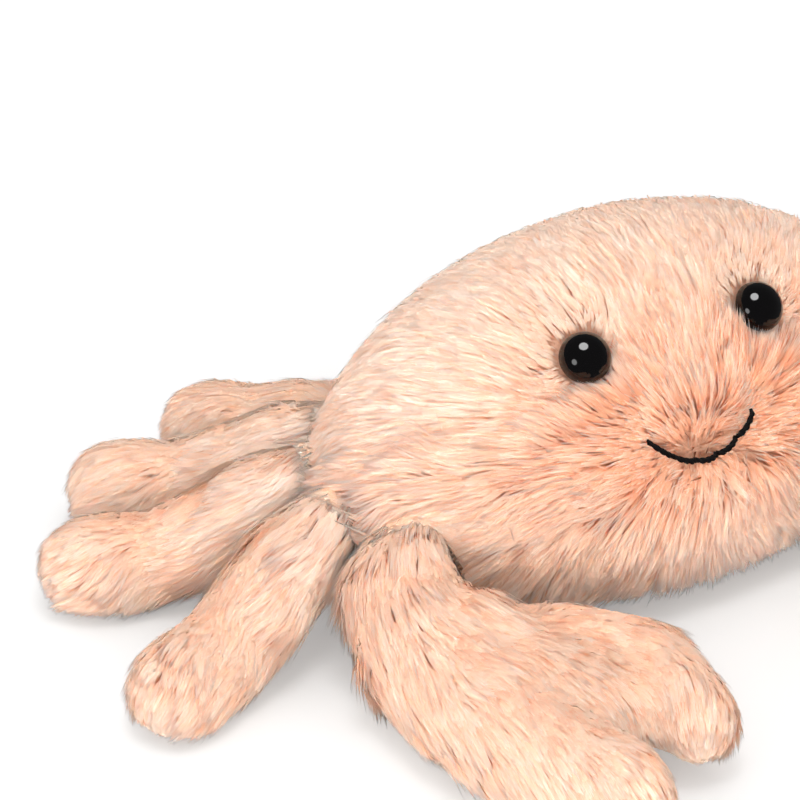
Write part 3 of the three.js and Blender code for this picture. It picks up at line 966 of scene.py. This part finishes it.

# %% [markdown]
# Limbs wear the same cloth. Over the seam their pile is short and flat, so that the body's coat can fall
# over it. Beside its neighbours' roots it is longer and stands out a little, which fills the fork between
# them. At the ends it is trimmed and lies flat, because raised blades seen from the tip would show their
# dark undersides. Over the seam, in the forks and at the ends the coat is painted paler, painted light
# where shade falls, and the two rear legs, further in shade, get more of it, as in the photograph.

# %% Limb coats
LIMB_LONG, FORK_LONGER, SEAM_SHORTER, TIP_SHORTER, LEAST_LONG = 9.5, 2, 2.5, 2, 4
CLAW_TRIM, LEG_TRIM = 4.5, 3
LIMB_LIFT, FORK_LIFT, SEAM_FLATTER, END_FLATTER = 21, 7, 5, 13
LIMB_STRAY, END_TIDIER, LIMB_PULL = 0.18, 0.1, 0.55
# Painted light over the seam, in the forks, at the ends and on the rear legs, where shade falls.
SEAM_PAINTED_LIGHT, FORK_PAINTED_LIGHT, TIP_PAINTED_LIGHT, REAR_PAINTED_LIGHT, FRONT_PALE = 0.3, 0.3, 0.15, 0.14, -0.04
SEAM_COVERED, FORK_FROM, LEG_FORK, CLAW_FORK = (-2 * MM, 10 * MM), 8 * MM, 24 * MM, 15 * MM
FORK_FACING = (0.3, 0.8)
LIMB_UNDER_SHORT, LIMB_UNDER_HEIGHTS = 0.5, (1 * MM, 7 * MM)
ROOT_FREE, FACING_IN, LIMB_SEED = 15 * MM, -0.5, 30


def limb_coat(limb):
    nap = limb_nap(limb)
    trim = CLAW_TRIM if is_claw(limb) else LEG_TRIM
    rear = part_of(limb) in ("leg_3", "leg_4")

    def along(points):
        return (points - ROOTS[limb]) @ OUTWARD[limb]

    def over_seam(points):
        return 1 - fade(along(points), *SEAM_COVERED)

    def in_fork(points, normals):
        facing = normals @ forward(limb)
        if is_claw(limb):
            facing = -facing
        elif part_of(limb) != "leg_4":
            facing = np.abs(facing)
        reach = CLAW_FORK if is_claw(limb) else LEG_FORK
        return (1 - fade(along(points), FORK_FROM, reach)) * fade(facing, *FORK_FACING)

    def at_tip(points, normals):
        return np.clip((nap(points) * normals).sum(1), 0, 1) ** 2

    def keep(points, normals):
        free = np.linalg.norm((points - ROOTS[limb])[:, :2], axis=1) > ROOT_FREE
        return ((normals @ OUTWARD[limb] > FACING_IN) | free) & thinned(normals)

    def length(points, normals):
        long = LIMB_LONG + FORK_LONGER * in_fork(points, normals) - SEAM_SHORTER * over_seam(points)
        long = long - TIP_SHORTER * at_tip(points, normals) - trim * near_end(points, limb)
        return np.maximum(long, LEAST_LONG) * shortened(LIMB_UNDER_SHORT, points[:, 2], *LIMB_UNDER_HEIGHTS)

    def lift(points, normals):
        raised = LIMB_LIFT + FORK_LIFT * in_fork(points, normals)
        return raised - SEAM_FLATTER * over_seam(points) - END_FLATTER * near_end(points, limb)

    # Painted light over the seam, in the forks, at the ends and on the rear legs.
    def painted_shading(points, normals):
        light = SEAM_PAINTED_LIGHT * over_seam(points) + FORK_PAINTED_LIGHT * in_fork(points, normals)
        return light + TIP_PAINTED_LIGHT * at_tip(points, normals) + (REAR_PAINTED_LIGHT if rear else FRONT_PALE)

    return {
        "density": 5.4,
        "keep": keep,
        "nap": nap,
        "length": length,
        "lift": lift,
        "stray": lambda points: LIMB_STRAY - END_TIDIER * near_end(points, limb),
        "pull": lambda points: np.full(len(points), LIMB_PULL),
        "painted_shading": painted_shading,
    }


for step, limb in enumerate(LIMBS):
    whole = {f"{limb}_pile": lambda roots: np.full(len(roots), True)}
    for pile in grow_pile(pads[limb], limb_coat(limb), LIMB_SEED + step, whole):
        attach(pile, limb)

# %% [markdown]
# The eyes are moulded acrylic, black all through and polished. That gives a base that is almost black, a
# low roughness and the IOR of acrylic, so they show little but the lights.

# %% Bead finish
bead_material, tree = new_material("polished_black_acrylic")
bead = add_node(
    tree, "ShaderNodeBsdfPrincipled", {"Base Color": linear("#030203"), "Roughness": 0.07, "IOR": 1.49}
)
add_node(tree, "ShaderNodeOutputMaterial", {"Surface": bead.outputs[0]})
print("bead finish:", bead_material.name)

# %% [markdown]
# An eye is a bead on a shank, held by a washer inside the body. The solid's bead has flat faces, and
# smoothing it would leave dents in the reflections. So a finer turned shape stands in for it, with the same
# profile, swept round its axis as on a lathe.

# %% Eyes
EYE_WIDE, EYE_RISE, EYE_SINK = 10 * MM, 3.6 * MM, 2 * MM
SHANK_WIDE, SHANK_END = 3.4 * MM, 8.2 * MM
BEAD_BACK, BACK_SHARE, BEAD_RIM = 0.3 * MM - EYE_SINK, 0.44, 1 * MM
BEAD_STEPS, BEAD_TOP = 24, 0.02 * MM


def ring_faces(rings, around):
    """Faces of a skin over rings of points, closed at both ends."""
    faces = []
    for ring in range(rings - 1):
        for i in range(around):
            a, b = ring * around + i, ring * around + (i + 1) % around
            faces.append((a, b, b + around, a + around))
    faces.append(tuple(range(around))[::-1])
    faces.append(tuple(range((rings - 1) * around, rings * around)))
    return faces


def turned(name, profile, place, out, material, around=48):
    """A closed turned shape: (radius, height) pairs along the axis, from the lower end to the upper."""
    points = []
    for radius, height in profile:
        for i in range(around):
            angle = 2 * math.pi * i / around
            points.append((radius * math.cos(angle), radius * math.sin(angle), height))
    mesh = bpy.data.meshes.new(name)
    mesh.from_pydata(points, [], ring_faces(len(profile), around))
    turn = Vector((0, 0, 1)).rotation_difference(Vector(out)).to_matrix().to_4x4()
    mesh.transform(Matrix.Translation(Vector(place)) @ turn)
    return add_piece(name, mesh, material)


bead_profile = [(SHANK_WIDE / 2, -SHANK_END), (SHANK_WIDE / 2, BEAD_BACK)]
bead_profile.append((EYE_WIDE * BACK_SHARE, BEAD_BACK))
for step in range(BEAD_STEPS + 1):
    angle = math.pi / 2 * step / BEAD_STEPS
    high = BEAD_BACK + BEAD_RIM + (EYE_RISE - BEAD_BACK - BEAD_RIM) * math.sin(angle)
    bead_profile.append((max(EYE_WIDE / 2 * math.cos(angle), BEAD_TOP), high))
for side, (place, out) in zip(("right", "left"), EYE_SEATS):
    eye = turned(f"{side}_eye_bead", bead_profile, place, out, bead_material)
    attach(eye, "body")
    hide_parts(f"{side}_eye")
print("bead rings:", len(bead_profile))

# %% [markdown]
# The mouth is sewn in cotton embroidery floss, spun and dyed black, so it is matt with a little fuzz. Fine
# noise in two near blacks with a slight bump gives that. The fuzz is drawn coarser than it is, so that it
# shows.

# %% Floss finish
FUZZ, FUZZ_DEPTH = 0.4 * MM, 0.1 * MM
floss_material, tree = new_material("black_cotton_floss")
spot = add_node(tree, "ShaderNodeTexCoord")
fuzz = add_node(
    tree, "ShaderNodeTexNoise", {"Vector": spot.outputs["Object"], "Scale": 1 / FUZZ, "Detail": 3.0}
)
ink = add_node(
    tree, "ShaderNodeValToRGB", {"Fac": fuzz.outputs["Fac"]}, stops=[(0.3, "#050405"), (0.75, "#121011")]
)
bump = add_node(tree, "ShaderNodeBump", {"Height": fuzz.outputs["Fac"], "Distance": FUZZ_DEPTH})
floss = add_node(
    tree,
    "ShaderNodeBsdfPrincipled",
    {"Base Color": ink.outputs[0], "Roughness": 0.8, "Normal": bump.outputs[0], "Specular IOR Level": 0.2},
)
add_node(tree, "ShaderNodeOutputMaterial", {"Surface": floss.outputs[0]})
print("floss finish:", floss_material.name)

# %% [markdown]
# The mouth is five back stitches. Each is two plies twisted round each other, which a plain tube would not
# show. It comes up out of the cloth, lies on the pile and goes down again, so it is thickest in the middle.

# %% Mouth
STITCHES, STITCH_GAP, STITCH_STEPS = 5, 0.02, 14
PLY, PLY_TURN, PLY_APART, THIN_END = 0.42 * MM, 2.4 * MM, 0.6, 0.75
STITCH_SINK, STITCH_RISE, ARCH_POWER = 0.7 * MM, 1.2 * MM, 0.4
ACROSS_PLY = (0, 0.3, 1.0)


def tube(points, radii, around=8):
    """Rings round a line, closed at both ends; returns its points and faces."""
    points = np.array(points)
    way = unit(np.gradient(points, axis=0))
    side = unit(np.cross(way, ACROSS_PLY))
    other = np.cross(way, side)
    angle = np.linspace(0, 2 * math.pi, around, endpoint=False)[None, :, None]
    ring = np.cos(angle) * side[:, None] + np.sin(angle) * other[:, None]
    ring = points[:, None] + np.array(radii)[:, None, None] * ring
    return ring.reshape(-1, 3), ring_faces(len(points), around)


def ply_line(stitch, begin):
    """Points and radii along one ply of a stitch, twisted from the angle where it begins."""
    line, radii = [], []
    for step in range(STITCH_STEPS + 1):
        share = step / STITCH_STEPS
        u = -1 + 2 * (stitch + STITCH_GAP + (1 - 2 * STITCH_GAP) * share) / STITCHES
        place, out = on_smile(u)
        arch = math.sin(math.pi * share) ** ARCH_POWER
        turn = begin + 2 * math.pi * share * MOUTH_WIDE / STITCHES / PLY_TURN
        up = np.cross(out, [1, 0, 0])
        spin = (out * math.sin(turn) + up * math.cos(turn)) * PLY * PLY_APART
        line.append(place + out * (-STITCH_SINK + STITCH_RISE * arch) + spin)
        radii.append(PLY * (THIN_END + (1 - THIN_END) * arch))
    return line, radii


points, faces = [], []
for stitch in range(STITCHES):
    for begin in (0, math.pi):
        ring, skin = tube(*ply_line(stitch, begin))
        faces += [tuple(i + len(points) for i in face) for face in skin]
        points += [tuple(p) for p in ring]
mouth_mesh = bpy.data.meshes.new("mouth_stitches")
mouth_mesh.from_pydata(points, [], faces)
mouth = add_piece("mouth_stitches", mouth_mesh, floss_material)
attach(mouth, "body")
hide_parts("mouth_thread")
print("mouth faces:", len(mouth.data.polygons))

# %% [markdown]
# The lock washers stay as the solid model has them, inside the body. They are moulded nylon, milky and a
# little rough, with faint flow marks a few millimetres wide.

# %% Washers
FLOW_MARK = 3 * MM
nylon_material, tree = new_material("moulded_nylon")
spot = add_node(tree, "ShaderNodeTexCoord")
marks = add_node(tree, "ShaderNodeTexNoise", {"Vector": spot.outputs["Object"], "Scale": 1 / FLOW_MARK})
milk = add_node(
    tree, "ShaderNodeValToRGB", {"Fac": marks.outputs["Fac"]}, stops=[(0.3, "#dcdcd7"), (0.7, "#ecece8")]
)
nylon = add_node(
    tree, "ShaderNodeBsdfPrincipled", {"Base Color": milk.outputs[0], "Roughness": 0.4, "IOR": 1.53}
)
add_node(tree, "ShaderNodeOutputMaterial", {"Surface": nylon.outputs[0]})
for side in ("right", "left"):
    washer = frame["nodes"][f"{side}_eye_washer"]
    washer.data.materials.clear()
    washer.data.materials.append(nylon_material)
print("washers:", nylon_material.name)
